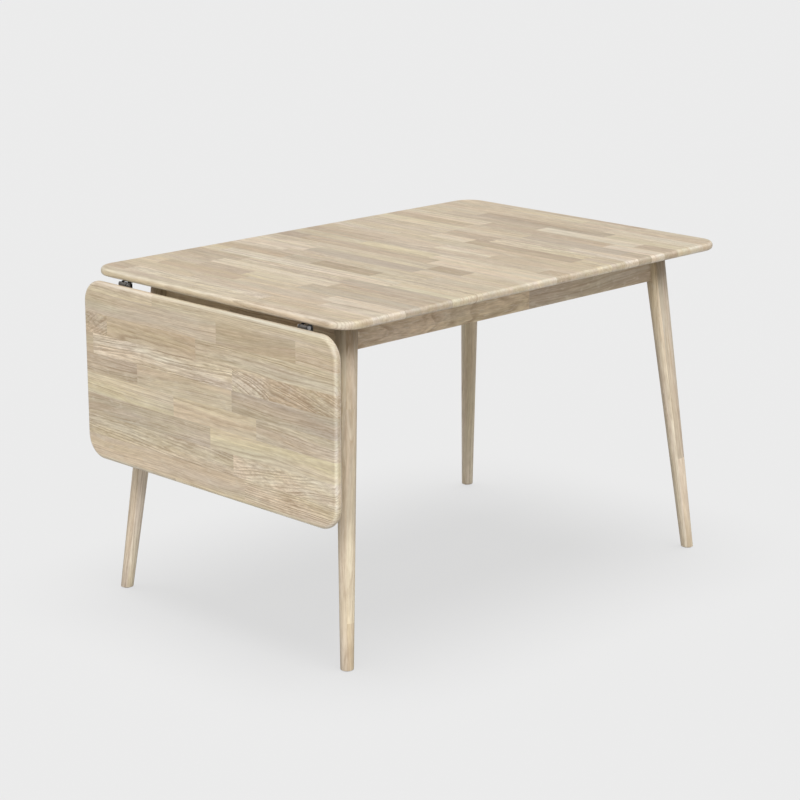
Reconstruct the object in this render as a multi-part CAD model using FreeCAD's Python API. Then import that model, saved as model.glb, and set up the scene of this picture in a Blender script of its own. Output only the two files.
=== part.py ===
import FreeCAD, Part

import math
import os

# Oak dining table with one drop leaf on the short side.
# Millimetres, +Z up. The origin is on the floor, under the middle of the table's
# outline with the leaf hanging. +X runs along the table, away from the leaf.

V = FreeCAD.Vector
UP = V(0, 0, 1)
ACROSS = V(0, 1, 0)

# ---- boards
TABLE_HEIGHT = 740.0
TOP_LENGTH = 1200.0
TOP_WIDTH = 800.0
BOARD_THICKNESS = 18.0
TOP_CORNER_R = 52.0
EDGE_ROUND_R = 8.0
LEAF_LENGTH = 400.0
LEAF_CORNER_R = 51.0
LEAF_GAP = 0.6  # open joint between the top and the raised leaf

# ---- legs: round, tapered, splayed towards the corners
LEG_TOP_D = 48.4
LEG_FOOT_D = 28.0
LEG_TOP_INSET = 111.5  # leg axis from both edges, at the underside of the top
LEG_FOOT_INSET = 40.0  # leg axis from both edges, at the floor
FOOT_CHAMFER = 1.2
GLIDE_D = 20.0
GLIDE_PROUD = 1.5
GLIDE_SPIGOT_D = 6.0
GLIDE_SPIGOT_LENGTH = 14.0

# ---- aprons
APRON_HEIGHT = 73.0
APRON_THICKNESS = 20.0
APRON_AHEAD = 9.0  # outer face in front of the leg axis
COPE_GAP = 0.2  # between a leg and what is shaped to it
MITRE_GAP = 0.1  # half the joint where two aprons meet behind a leg

# ---- corner blocks and their bolts
BLOCK_ALONG = 48.0  # contact length on each apron
BLOCK_END = 8.0  # thickness of the block's two ends
BLOCK_HEIGHT = 55.0
BLOCK_DROP = 5.0  # below the top
BLOCK_SCREW_SPREAD = 40.0
BLOCK_SCREW_RISE = 32.0
BOLT_D = 8.0
BOLT_CHAMFER = 1.0
BOLT_PAST_AXIS = 6.0  # how far the bolt goes beyond the leg axis
BOLT_TAIL = 12.0  # bolt standing out of the block
WASHER_D = 20.0
WASHER_T = 1.6
NUT_ACROSS_FLATS = 13.0
NUT_HEIGHT = 6.5

# ---- screws
SCREW_D = 4.0
SCREW_TIP_D = 0.8
SCREW_HEAD_D = 8.0
SCREW_CROWN_D = 5.1
SCREW_HEAD_H = 2.2
SLOT_WIDTH = 1.0
SLOT_LENGTH = 4.4
SLOT_DEPTH = 1.2
BOARD_SCREW = 13.0  # length below the head, in the top and the leaf
APRON_SCREW = 15.0
BLOCK_SCREW = 35.0
THREAD_GAP = 0.05
PLATE_HOLE_GAP = 0.25
TIP_ROOM = 0.5

# ---- angle brackets between the aprons and the top
ANGLE_WIDTH = 20.0
ANGLE_LEG = 24.0
ANGLE_T = 2.0
ANGLE_HOLE = 15.0  # screw from the bracket's corner
ANGLE_FROM_LEG = 120.0  # first bracket on a long apron, from the leg axis

# ---- bracket hinges: a low bracket under the top, a deeper arm on the leaf
HINGE_INSET = 115.0  # hinge middle from the long edges
HINGE_WIDTH = 28.0
SHEET = 2.0
PIN_BELOW_TOP = 5.7  # hinge pin axis below the underside of the top
PIN_D = 5.0
PIN_FIT = 0.05
PIN_HEAD_D = 8.0
PIN_HEAD_H = 1.5
SIDE_GAP = 0.4  # between parts that turn next to each other
EAR_R = 4.2
HUB_R = 8.0
HUB_FROM = -115.0  # notched rim of the hub, degrees from +X
HUB_TO = 25.0
PLATE_CORNER_R = 5.0
PLATE_SCREW_Y = 5.0  # hinge screws from the middle of their plate
PLATE_SCREW_END = 10.0  # last screw from the far end of its plate
BRACKET_SCREW_START = 24.0
BRACKET_SCREWS = 4
BRACKET_START = 9.0  # table-side plate begins this far from the pin
BRACKET_FLANGE_START = 2.0
BRACKET_FLANGE = 3.1
LEG_ROOM = 3.3  # between the bracket's tail and the leg
ARM_LENGTH = 98.0
ARM_START = 6.0  # leaf-side plate begins this far from the pin
ARM_LIP = 0.5  # its narrower lip goes this far past the pin
ARM_SCREW_START = 17.0
TAIL_DEPTH = 8.0
CHEEK_DEPTH = 18.0  # arm's cheeks off the leaf, at the catch pin

# ---- catch lever, in the leaf-side arm
CATCH_X = 30.0  # catch pin from the hinge pin
CATCH_DROP = 6.5
CATCH_PIN_D = 4.0
CATCH_HEAD_D = 7.0
CATCH_EAR_R = 4.8
TOOTH_T = 2.6
TOOTH_GAP = 0.35  # tooth clear of the hub's rim
CATCH_ENGAGE = 4.5  # degrees from riding on the rim to seated in a notch
NOTCH_ROOM = 0.45
LEVER_DROP = 11.0  # lever plate's inner face off the hinge pin
LEVER_TAIL = 20.0  # lever ends this far before the arm's tail
DRIVER_ROOM = 1.0  # round a screw head, in the slot that lets a driver in
TAB_RUN = 9.0
TAB_DROP = 7.5
TAB_WIDTH = 20.0
SPRING_X = 49.0
SPRING_R = 3.6
SPRING_WIRE_D = 0.9
SPRING_TURNS = 6
SPRING_END_GAP = 0.1
STUD_D = 4.2
STUD_H = 4.0

# ---- places that follow from the sizes
UNDERSIDE = TABLE_HEIGHT - BOARD_THICKNESS
PIN_Z = UNDERSIDE - PIN_BELOW_TOP
LEAF_OUT = BOARD_THICKNESS + PIN_BELOW_TOP  # hanging leaf's face from the pin
EDGE_X = LEAF_OUT - (TOP_LENGTH + LEAF_OUT) / 2  # leaf-end edge of the top
MID_X = EDGE_X + TOP_LENGTH / 2
FRONT_Y = -TOP_WIDTH / 2
EDGE_R = min(EDGE_ROUND_R, 0.48 * BOARD_THICKNESS)
APRON_OUT = LEG_TOP_INSET - APRON_AHEAD  # aprons' outer face from the edge
APRON_IN = APRON_OUT + APRON_THICKNESS
HINGE_YS = {"front": FRONT_Y + HINGE_INSET, "back": -FRONT_Y - HINGE_INSET}
BRACKET_REACH = LEG_TOP_INSET - LEG_TOP_D / 2 - LEG_ROOM
CHEEK_OUT = HINGE_WIDTH / 2
CHEEK_IN = CHEEK_OUT - SHEET
INNER_HALF = CHEEK_IN - SIDE_GAP
CORNERS = {
    "front_left": (False, False),
    "front_right": (True, False),
    "back_left": (False, True),
    "back_right": (True, True),
}


# ---- small helpers
def block(x0, x1, y0, y1, z0, z1):
    return Part.makeBox(x1 - x0, y1 - y0, z1 - z0, V(x0, y0, z0))


def rod(start, along, radius, length):
    return Part.makeCylinder(radius, length, start, along)


def side_profile(points, y0, y1):
    """A plate cut to an outline of (x, z) points, from y0 to y1."""
    wire = Part.makePolygon([V(x, y0, z) for x, z in points + points[:1]])
    return Part.Face(wire).extrude(V(0, y1 - y0, 0))


def plan_profile(points, z0, z1):
    """A block with an outline of (x, y) points, from z0 to z1."""
    wire = Part.makePolygon([V(x, y, z0) for x, y in points + points[:1]])
    return Part.Face(wire).extrude(V(0, 0, z1 - z0))


def joined(shapes):
    return shapes[0].fuse(shapes[1:]).removeSplitter()


def edges_along(shape, direction):
    """Straight edges of a shape that run along a direction."""
    found = []
    for edge in shape.Edges:
        if isinstance(edge.Curve, Part.Line):
            if abs(edge.tangentAt(edge.FirstParameter).dot(direction)) > 0.999:
                found.append(edge)
    return found


def at_corner(shape, flip_x, flip_y):
    """A front left piece, mirrored to another corner."""
    if flip_x:
        shape = shape.mirror(V(MID_X, 0, 0), V(1, 0, 0))
    if flip_y:
        shape = shape.mirror(V(0, 0, 0), ACROSS)
    return shape


def at_all_corners(shape):
    return [at_corner(shape, *flips) for flips in CORNERS.values()]


def at_hinge(shape, y):
    """A hinge piece, modelled round the pin, moved to its place."""
    return shape.translated(V(EDGE_X, y, PIN_Z))


# ---- fasteners
def placed(shape, seat, into):
    turn = FreeCAD.Rotation(UP, into)
    return shape.transformed(FreeCAD.Placement(seat, turn).toMatrix())


def screw(seat, into, length):
    """A domed cross-head wood screw: head on its seat, shank into the wood."""
    point = SCREW_D
    shank = rod(V(0, 0, 0), UP, SCREW_D / 2, length - point)
    tip = Part.makeCone(SCREW_D / 2, SCREW_TIP_D / 2, point, V(0, 0, length - point))
    half_head = SCREW_HEAD_H / 2
    rim = rod(V(0, 0, -half_head), UP, SCREW_HEAD_D / 2, half_head)
    crown = Part.makeCone(SCREW_CROWN_D / 2, SCREW_HEAD_D / 2, half_head, V(0, 0, -SCREW_HEAD_H))
    body = joined([shank, tip, rim, crown])
    half = SLOT_LENGTH / 2
    for along, across in ((half, SLOT_WIDTH / 2), (SLOT_WIDTH / 2, half)):
        slot = block(-along, along, -across, across, -SCREW_HEAD_H, SLOT_DEPTH - SCREW_HEAD_H)
        body = body.cut(slot)
    return placed(body, seat, into)


def pilot(seat, into, length):
    """The hole that a screw makes in the wood under it."""
    return rod(seat, into, SCREW_D / 2 + THREAD_GAP, length + TIP_ROOM)


def plate_hole(seat, into, thickness):
    """The hole that lets a screw through a steel plate under its head."""
    start = seat - into * thickness
    return rod(start, into, SCREW_D / 2 + PLATE_HOLE_GAP, 3 * thickness)


# ---- boards
def board(x0, length, corner_r):
    """A board under the level of the table's surface, rounded all round."""
    slab = block(x0, x0 + length, FRONT_Y, -FRONT_Y, UNDERSIDE, TABLE_HEIGHT)
    slab = slab.makeFillet(corner_r, edges_along(slab, UP))
    rims = [e for e in slab.Edges if e.BoundBox.ZLength < BOARD_THICKNESS / 2]
    return slab.makeFillet(EDGE_R, rims)


def leaf_board():
    """The leaf, made level in its raised place and then let down."""
    leaf = board(EDGE_X - LEAF_GAP - LEAF_LENGTH, LEAF_LENGTH, LEAF_CORNER_R)
    leaf.rotate(V(EDGE_X, 0, PIN_Z), ACROSS, -90)
    return leaf


# ---- legs and glides, front left
def leg_inset(z):
    share = z / UNDERSIDE
    return LEG_FOOT_INSET + (LEG_TOP_INSET - LEG_FOOT_INSET) * share


def leg_point(z):
    return V(EDGE_X + leg_inset(z), FRONT_Y + leg_inset(z), z)


def leg_cone(growth):
    """The leg's tapered round, run on past both ends."""
    spare = LEG_TOP_D
    start, end = leg_point(-spare), leg_point(UNDERSIDE + spare)
    slope = (LEG_TOP_D - LEG_FOOT_D) / 2 / UNDERSIDE
    r0 = LEG_FOOT_D / 2 - slope * spare + growth
    r1 = LEG_TOP_D / 2 + slope * spare + growth
    return Part.makeCone(r0, r1, (end - start).Length, start, end - start)


def glide():
    foot = leg_point(0)
    pad = rod(foot, UP, GLIDE_D / 2, GLIDE_PROUD)
    spigot = rod(foot, UP, GLIDE_SPIGOT_D / 2, GLIDE_PROUD + GLIDE_SPIGOT_LENGTH)
    return joined([pad, spigot])


def leg():
    room = 2 * LEG_TOP_D
    low, high = leg_point(0), leg_point(UNDERSIDE)
    cut_off = block(
        low.x - room, high.x + room, low.y - room, high.y + room, GLIDE_PROUD, UNDERSIDE
    )
    body = leg_cone(0).common(cut_off)
    foot_rim = [e for e in body.Edges if e.BoundBox.ZMax < GLIDE_PROUD + 1]
    body = body.makeChamfer(FOOT_CHAMFER, foot_rim)
    hole_depth = GLIDE_PROUD + GLIDE_SPIGOT_LENGTH + TIP_ROOM
    body = body.cut(rod(low, UP, GLIDE_SPIGOT_D / 2 + THREAD_GAP, hole_depth))
    start, inward = bolt_start()
    return body.cut(rod(start - inward * TIP_ROOM, inward, BOLT_D / 2 + THREAD_GAP, LEG_TOP_D))


# ---- corner blocks, front left
def block_middle():
    return UNDERSIDE - BLOCK_DROP - BLOCK_HEIGHT / 2


def diagonal():
    return V(1, 1, 0).normalize()


def bolt_start():
    """The bolt's end in the leg, and the way it points out of the block."""
    inward = diagonal()
    return leg_point(block_middle()) - inward * BOLT_PAST_AXIS, inward


def block_back():
    """Middle of the face that the nut is tightened against."""
    half = (BLOCK_ALONG + BLOCK_END) / 2
    return V(EDGE_X + APRON_IN + half, FRONT_Y + APRON_IN + half, block_middle())


def block_screw_seats():
    across = V(1, -1, 0).normalize()
    for side in (-1, 1):
        for rise in (-1, 1):
            offset = across * (side * BLOCK_SCREW_SPREAD / 2)
            yield block_back() + offset + V(0, 0, rise * BLOCK_SCREW_RISE / 2)


def corner_block():
    x, y = EDGE_X + APRON_IN, FRONT_Y + APRON_IN
    outline = [
        (x, y),
        (x + BLOCK_ALONG, y),
        (x + BLOCK_ALONG, y + BLOCK_END),
        (x + BLOCK_END, y + BLOCK_ALONG),
        (x, y + BLOCK_ALONG),
    ]
    middle = block_middle()
    body = plan_profile(outline, middle - BLOCK_HEIGHT / 2, middle + BLOCK_HEIGHT / 2)
    body = body.cut(leg_cone(COPE_GAP))
    start, inward = bolt_start()
    body = body.cut(rod(start, inward, BOLT_D / 2 + PLATE_HOLE_GAP, 2 * BLOCK_ALONG))
    holes = [pilot(seat, -inward, BLOCK_SCREW) for seat in block_screw_seats()]
    return body.cut(holes)


def hanger_bolt():
    start, inward = bolt_start()
    length = (block_back() - start).dot(inward) + BOLT_TAIL
    straight, end_r = length - BOLT_CHAMFER, BOLT_D / 2 - BOLT_CHAMFER
    body = rod(start, inward, BOLT_D / 2, straight)
    end = Part.makeCone(BOLT_D / 2, end_r, BOLT_CHAMFER, start + inward * straight, inward)
    return joined([body, end])


def washer():
    back, inward = block_back(), diagonal()
    ring = rod(back, inward, WASHER_D / 2, WASHER_T)
    return ring.cut(rod(back, inward, BOLT_D / 2 + PLATE_HOLE_GAP, WASHER_T))


def hex_nut():
    radius = NUT_ACROSS_FLATS / math.sqrt(3)
    angles = [side * math.pi / 3 for side in range(6)]
    points = [(radius * math.cos(angle), radius * math.sin(angle)) for angle in angles]
    body = plan_profile(points, 0, NUT_HEIGHT)
    body = body.cut(rod(V(0, 0, 0), UP, BOLT_D / 2 + THREAD_GAP, NUT_HEIGHT))
    return placed(body, block_back() + diagonal() * WASHER_T, diagonal())


# ---- angle brackets: local +y points away from the apron, the origin is where
# the apron's inner face meets the top
def angle_places():
    """Turn about Z and place of each angle bracket."""
    reach = TOP_LENGTH / 2 - LEG_TOP_INSET - ANGLE_FROM_LEG
    side = TOP_WIDTH / 2 - APRON_IN
    end = TOP_LENGTH / 2 - APRON_IN
    for x in (-reach, 0, reach):
        yield 0, V(MID_X + x, -side, UNDERSIDE)
        yield 180, V(MID_X + x, side, UNDERSIDE)
    yield -90, V(MID_X - end, 0, UNDERSIDE)
    yield 90, V(MID_X + end, 0, UNDERSIDE)


def at_angle(shape, turn, place):
    moved = shape.copy()
    moved.rotate(V(0, 0, 0), UP, turn)
    return moved.translated(place)


def angle_screw_seats():
    """Seat, direction and length of the two screws of one angle bracket."""
    yield V(0, ANGLE_HOLE, -ANGLE_T), UP, BOARD_SCREW
    yield V(0, ANGLE_T, -ANGLE_HOLE), V(0, -1, 0), APRON_SCREW


def angle_bracket():
    half = ANGLE_WIDTH / 2
    flat = block(-half, half, 0, ANGLE_LEG, -ANGLE_T, 0)
    upright = block(-half, half, 0, ANGLE_T, -ANGLE_LEG, 0)
    flat_ends = [e for e in edges_along(flat, UP) if e.CenterOfMass.y > half]
    upright_ends = [e for e in edges_along(upright, ACROSS) if e.CenterOfMass.z < -half]
    flat = flat.makeFillet(PLATE_CORNER_R, flat_ends)
    upright = upright.makeFillet(PLATE_CORNER_R, upright_ends)
    body = joined([flat, upright])
    return body.cut([plate_hole(seat, into, ANGLE_T) for seat, into, _ in angle_screw_seats()])


def angle_pilots():
    one = [pilot(*seat) for seat in angle_screw_seats()]
    return [at_angle(hole, *place) for place in angle_places() for hole in one]


# ---- aprons
def apron_holes():
    start, inward = bolt_start()
    bolt_room = rod(start, inward, BOLT_D / 2 + PLATE_HOLE_GAP, 2 * BLOCK_ALONG)
    holes = angle_pilots() + at_all_corners(bolt_room)
    for seat in block_screw_seats():
        holes += at_all_corners(pilot(seat, -inward, BLOCK_SCREW))
    return holes


def mitre_cuts(long_side):
    """What an apron gives up to its neighbour, behind each leg."""
    far = LEG_TOP_INSET + LEG_TOP_D
    x, y = EDGE_X, FRONT_Y
    if long_side:
        outline = [(x + MITRE_GAP, y), (x + far + MITRE_GAP, y + far), (x + MITRE_GAP, y + far)]
    else:
        outline = [(x, y + MITRE_GAP), (x + far, y + far + MITRE_GAP), (x + far, y + MITRE_GAP)]
    return at_all_corners(plan_profile(outline, UNDERSIDE - APRON_HEIGHT, UNDERSIDE))


def shaped_to_neighbours(rail, long_side, holes):
    rail = rail.cut(mitre_cuts(long_side) + at_all_corners(leg_cone(COPE_GAP)))
    near = [hole for hole in holes if rail.BoundBox.intersect(hole.BoundBox)]
    return rail.cut(near)


def long_apron(holes):
    x = TOP_LENGTH / 2 - LEG_TOP_INSET
    y = FRONT_Y + APRON_OUT
    rail = block(MID_X - x, MID_X + x, y, y + APRON_THICKNESS, UNDERSIDE - APRON_HEIGHT, UNDERSIDE)
    return shaped_to_neighbours(rail, True, holes)


def end_apron(holes):
    y = TOP_WIDTH / 2 - LEG_TOP_INSET
    x = EDGE_X + APRON_OUT
    rail = block(x, x + APRON_THICKNESS, -y, y, UNDERSIDE - APRON_HEIGHT, UNDERSIDE)
    return shaped_to_neighbours(rail, False, holes)


# ---- bracket hinges: modelled round the pin, under a board that runs towards +X;
# the leaf's own pieces are turned to the hanging leaf afterwards
def let_down(shape):
    """A leaf-side piece, turned from under the table to the hanging leaf."""
    moved = shape.copy()
    moved.rotate(V(0, 0, 0), UP, 180)
    moved.rotate(V(0, 0, 0), ACROSS, -90)
    return moved


def both_sides(outline, inner, outer):
    """The two like plates of a channel, one on each side of its middle."""
    return [side_profile(outline, inner, outer), side_profile(outline, -outer, -inner)]


def arm_screw_seats():
    for x in (ARM_SCREW_START, ARM_LENGTH - PLATE_SCREW_END):
        for y in (PLATE_SCREW_Y, -PLATE_SCREW_Y):
            yield V(x, y, PIN_BELOW_TOP - SHEET)


def leaf_arm():
    """Channel on the leaf: plate, lip and barrel, cheeks with the pins' ears, spring stud."""
    top, tail = PIN_BELOW_TOP, ARM_LENGTH
    plate = block(ARM_START, tail, -CHEEK_OUT, CHEEK_OUT, top - SHEET, top)
    lip_half = INNER_HALF - SHEET - SIDE_GAP
    lip = block(-ARM_LIP, ARM_START, -lip_half, lip_half, top - SHEET, top)
    low = top - CHEEK_DEPTH
    cheek = [
        (0, EAR_R),
        (ARM_START, top),
        (tail, top),
        (tail, top - TAIL_DEPTH),
        (CATCH_X + 2 * CATCH_EAR_R, low),
        (CATCH_X - 2 * CATCH_EAR_R, low),
        (0, -EAR_R),
    ]
    barrel = rod(V(0, -lip_half, 0), ACROSS, EAR_R, 2 * lip_half)
    parts = [plate, lip, barrel] + both_sides(cheek, CHEEK_IN, CHEEK_OUT)
    for side in (CHEEK_IN, -CHEEK_OUT):
        parts.append(rod(V(0, side, 0), ACROSS, EAR_R, SHEET))
    parts.append(rod(V(SPRING_X, 0, top - SHEET - STUD_H), UP, STUD_D / 2, STUD_H))
    body = joined(parts)
    body = body.cut(pin_holes(0, 0, PIN_D))
    body = body.cut(pin_holes(CATCH_X, -CATCH_DROP, CATCH_PIN_D))
    return body.cut([plate_hole(seat, UP, SHEET) for seat in arm_screw_seats()])


def pin_holes(x, z, diameter):
    return rod(V(x, -HINGE_WIDTH, z), ACROSS, diameter / 2 + PIN_FIT, 2 * HINGE_WIDTH)


def rivet(x, z, diameter, head_d):
    """A pin through both cheeks, headed outside them."""
    head_at = CHEEK_OUT + PIN_FIT
    parts = [rod(V(x, -head_at, z), ACROSS, diameter / 2, 2 * head_at)]
    for y in (head_at, -head_at - PIN_HEAD_H):
        parts.append(rod(V(x, y, z), ACROSS, head_d / 2, PIN_HEAD_H))
    return joined(parts)


def tooth_rise():
    """How far the tooth moves towards the pin as it seats in a notch."""
    return CATCH_X * math.sin(math.radians(CATCH_ENGAGE))


def hub_rim(y):
    """Notched sector that the tooth rides on, and drops into at both ends."""
    fan = [(0, 0)]
    for step in range(4):
        angle = math.radians(HUB_FROM + (HUB_TO - HUB_FROM) * step / 3)
        fan.append((2 * HUB_R * math.cos(angle), 2 * HUB_R * math.sin(angle)))
    sector = rod(V(0, y, 0), ACROSS, HUB_R, SHEET).common(side_profile(fan, y, y + SHEET))
    half = TOOTH_T / 2 + NOTCH_ROOM
    floor = HUB_R + TOOTH_GAP - tooth_rise() - 2 * NOTCH_ROOM
    level = block(-half, half, y, y + SHEET, -2 * HUB_R, -floor)
    lowered = block(floor, 2 * HUB_R, y, y + SHEET, -half, half)
    return sector.cut([level, lowered])


def bracket_screw_seats():
    pitch = (BRACKET_REACH - PLATE_SCREW_END - BRACKET_SCREW_START) / (BRACKET_SCREWS - 1)
    for number in range(BRACKET_SCREWS):
        side = PLATE_SCREW_Y if number % 2 == 0 else -PLATE_SCREW_Y
        yield V(BRACKET_SCREW_START + number * pitch, side, PIN_BELOW_TOP - SHEET)


def table_bracket():
    """Low channel under the top: plate, flanges and the two notched hubs."""
    top, tail = PIN_BELOW_TOP, BRACKET_REACH
    plate = block(BRACKET_START, tail, -INNER_HALF, INNER_HALF, top - SHEET, top)
    tail_edges = [e for e in edges_along(plate, UP) if e.CenterOfMass.x > BRACKET_START + 1]
    plate = plate.makeFillet(PLATE_CORNER_R, tail_edges)
    flange = [
        (BRACKET_FLANGE_START, top),
        (tail - PLATE_CORNER_R, top),
        (tail - 2 * PLATE_CORNER_R, top - BRACKET_FLANGE),
        (BRACKET_FLANGE_START, top - BRACKET_FLANGE),
    ]
    parts = [plate] + both_sides(flange, INNER_HALF - SHEET, INNER_HALF)
    for side in (INNER_HALF - SHEET, -INNER_HALF):
        parts.append(hub_rim(side))
        parts.append(rod(V(0, side, 0), ACROSS, EAR_R, SHEET))
    body = joined(parts)
    body = body.cut(pin_holes(0, 0, PIN_D))
    return body.cut([plate_hole(seat, UP, SHEET) for seat in bracket_screw_seats()])


def driver_slot():
    """Slot in the lever over the pair of screws that it would cover."""
    radius = SCREW_HEAD_D / 2 + DRIVER_ROOM
    x, y = ARM_SCREW_START, PLATE_SCREW_Y
    low, high = -LEVER_DROP - 2 * SHEET, SHEET - LEVER_DROP
    ends = [rod(V(x, side, low), UP, radius, high - low) for side in (y, -y)]
    return joined(ends + [block(x - radius, x + radius, -y, y, low, high)])


def catch_lever():
    """Pressed lever: tooth at the hub, ears on the catch pin, tab for a finger."""
    half, low = TOOTH_T / 2, -LEVER_DROP - SHEET
    end = ARM_LENGTH - LEVER_TAIL - TAB_RUN
    tooth = block(-half, half, -INNER_HALF, INNER_HALF, low, -HUB_R - TOOTH_GAP)
    plate = block(-half, end, -INNER_HALF, INNER_HALF, low, -LEVER_DROP)
    slope = [
        (end, -LEVER_DROP),
        (end + TAB_RUN, -LEVER_DROP - TAB_DROP),
        (end + TAB_RUN, low - TAB_DROP),
        (end, low),
    ]
    tab = side_profile(slope, -TAB_WIDTH / 2, TAB_WIDTH / 2)
    foot = 2 * CATCH_EAR_R
    ear = [
        (CATCH_X - foot, low),
        (CATCH_X + foot, low),
        (CATCH_X + CATCH_EAR_R, -CATCH_DROP),
        (CATCH_X - CATCH_EAR_R, -CATCH_DROP),
    ]
    parts = [tooth, plate, tab] + both_sides(ear, INNER_HALF - SHEET, INNER_HALF)
    for side in (INNER_HALF - SHEET, -INNER_HALF):
        parts.append(rod(V(CATCH_X, side, -CATCH_DROP), ACROSS, CATCH_EAR_R, SHEET))
    body = joined(parts)
    return body.cut([pin_holes(CATCH_X, -CATCH_DROP, CATCH_PIN_D), driver_slot()])


def catch_spring():
    """Coil between the arm's plate and the tail of the lever."""
    wire_r = SPRING_WIRE_D / 2
    low = -LEVER_DROP + SPRING_END_GAP + wire_r
    height = PIN_BELOW_TOP - SHEET - SPRING_END_GAP - wire_r - low
    path = Part.makeHelix(height / SPRING_TURNS, height, SPRING_R)
    section = Part.Wire(Part.makeCircle(wire_r, V(SPRING_R, 0, 0), ACROSS))
    coil = Part.Wire(path.Edges).makePipeShell([section], True, True)
    return coil.translated(V(SPRING_X, 0, low))


# ---- the screws of both hinges
def table_screws(make):
    """Screws, or the holes for them, at each seat of both brackets."""
    shapes = [make(seat, UP, BOARD_SCREW) for seat in bracket_screw_seats()]
    return [at_hinge(shape, y) for y in HINGE_YS.values() for shape in shapes]


def leaf_screws(make):
    """Screws, or the holes for them, at each seat of both arms."""
    shapes = [let_down(make(seat, UP, BOARD_SCREW)) for seat in arm_screw_seats()]
    return [at_hinge(shape, y) for y in HINGE_YS.values() for shape in shapes]


# ---- the whole table
def make_parts():
    parts = {}
    apron_cuts = apron_holes()
    top_holes = table_screws(pilot) + angle_pilots()
    parts["table_top"] = board(EDGE_X, TOP_LENGTH, TOP_CORNER_R).cut(top_holes)
    parts["drop_leaf"] = leaf_board().cut(leaf_screws(pilot))
    front, end = long_apron(apron_cuts), end_apron(apron_cuts)
    parts["apron_front"] = front
    parts["apron_back"] = at_corner(front, False, True)
    parts["apron_leaf_end"] = end
    parts["apron_far_end"] = at_corner(end, True, False)
    one_leg, one_glide, one_block = leg(), glide(), corner_block()
    for name, flips in CORNERS.items():
        parts["leg_" + name] = at_corner(one_leg, *flips)
        parts["glide_" + name] = at_corner(one_glide, *flips)
        parts["corner_block_" + name] = at_corner(one_block, *flips)
    parts["hanger_bolts"] = at_all_corners(hanger_bolt())
    parts["bolt_washers"] = at_all_corners(washer())
    parts["bolt_nuts"] = at_all_corners(hex_nut())
    parts["block_screws"] = [
        piece
        for seat in block_screw_seats()
        for piece in at_all_corners(screw(seat, -diagonal(), BLOCK_SCREW))
    ]
    angle = angle_bracket()
    parts["angle_brackets"] = [at_angle(angle, *place) for place in angle_places()]
    parts["angle_screws"] = [
        at_angle(screw(*seat), *place) for place in angle_places() for seat in angle_screw_seats()
    ]
    parts["hinge_table_screws"] = table_screws(screw)
    parts["hinge_leaf_screws"] = leaf_screws(screw)
    pieces = {
        "hinge_bracket_": table_bracket(),
        "hinge_arm_": let_down(leaf_arm()),
        "hinge_pin_": rivet(0, 0, PIN_D, PIN_HEAD_D),
        "catch_lever_": let_down(catch_lever()),
        "catch_pin_": let_down(rivet(CATCH_X, -CATCH_DROP, CATCH_PIN_D, CATCH_HEAD_D)),
        "catch_spring_": let_down(catch_spring()),
    }
    for side, y in HINGE_YS.items():
        for name, piece in pieces.items():
            parts[name + side] = at_hinge(piece, y)
    return parts


def export(parts):
    os.makedirs("parts", exist_ok=True)
    for name, shape in parts.items():
        whole = Part.makeCompound(shape) if isinstance(shape, list) else shape
        whole.exportStep(os.path.join("parts", name + ".step"))


export(make_parts())
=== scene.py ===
import math
import random

import bmesh
import bpy
from bpy.props import FloatProperty, FloatVectorProperty, IntProperty, PointerProperty
from mathutils import Matrix, Vector


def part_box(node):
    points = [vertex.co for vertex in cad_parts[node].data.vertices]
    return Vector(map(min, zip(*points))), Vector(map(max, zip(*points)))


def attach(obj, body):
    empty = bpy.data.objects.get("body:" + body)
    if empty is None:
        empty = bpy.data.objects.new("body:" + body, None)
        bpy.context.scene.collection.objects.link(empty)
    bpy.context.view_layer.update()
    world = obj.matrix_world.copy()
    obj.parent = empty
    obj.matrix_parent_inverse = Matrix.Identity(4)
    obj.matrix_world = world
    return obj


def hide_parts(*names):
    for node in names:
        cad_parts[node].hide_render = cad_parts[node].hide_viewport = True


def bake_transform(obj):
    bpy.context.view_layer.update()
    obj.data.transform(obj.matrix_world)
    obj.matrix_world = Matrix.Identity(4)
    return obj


bl_info = {
    "name": "Drop-leaf oak table",
    "version": (1, 0, 0),
    "blender": (4, 5, 0),
    "location": "3D View > Sidebar > Table",
    "description": "Oak boards, legs, rails and hardware of a drop-leaf table, with a plain studio",
    "category": "Add Mesh",
}

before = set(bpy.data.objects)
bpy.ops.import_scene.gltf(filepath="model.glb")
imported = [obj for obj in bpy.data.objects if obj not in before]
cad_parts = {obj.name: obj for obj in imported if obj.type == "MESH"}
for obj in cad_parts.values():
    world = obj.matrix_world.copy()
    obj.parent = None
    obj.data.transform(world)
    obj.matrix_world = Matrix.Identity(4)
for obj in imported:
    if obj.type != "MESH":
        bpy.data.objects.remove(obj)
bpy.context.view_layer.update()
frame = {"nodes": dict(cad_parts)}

MM = 0.001
CORNERS = ("front_left", "front_right", "back_left", "back_right")
SIDES = ("front", "back")
X_AXIS, Y_AXIS, Z_AXIS = (Vector(way) for way in ((1, 0, 0), (0, 1, 0), (0, 0, 1)))

# The tones that staves are sorted into, as shares of the oak's own colour. The last two are
# painted shade, for a leg or rail where the table's own parts shade it.
TONES = {
    "pale": (1.15, 1.178, 1.222),
    "honey": (1.08, 1.104, 1.062),
    "mid": (1.01, 1.01, 1.0),
    "grey": (0.86, 0.867, 0.884),
    "tan": (0.94, 0.912, 0.872),
    "brown": (0.875, 0.84, 0.80),
    "dark": (0.77, 0.735, 0.70),
    "smoked": (0.735, 0.72, 0.71),
    "ash": (0.775, 0.775, 0.79),
}

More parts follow.
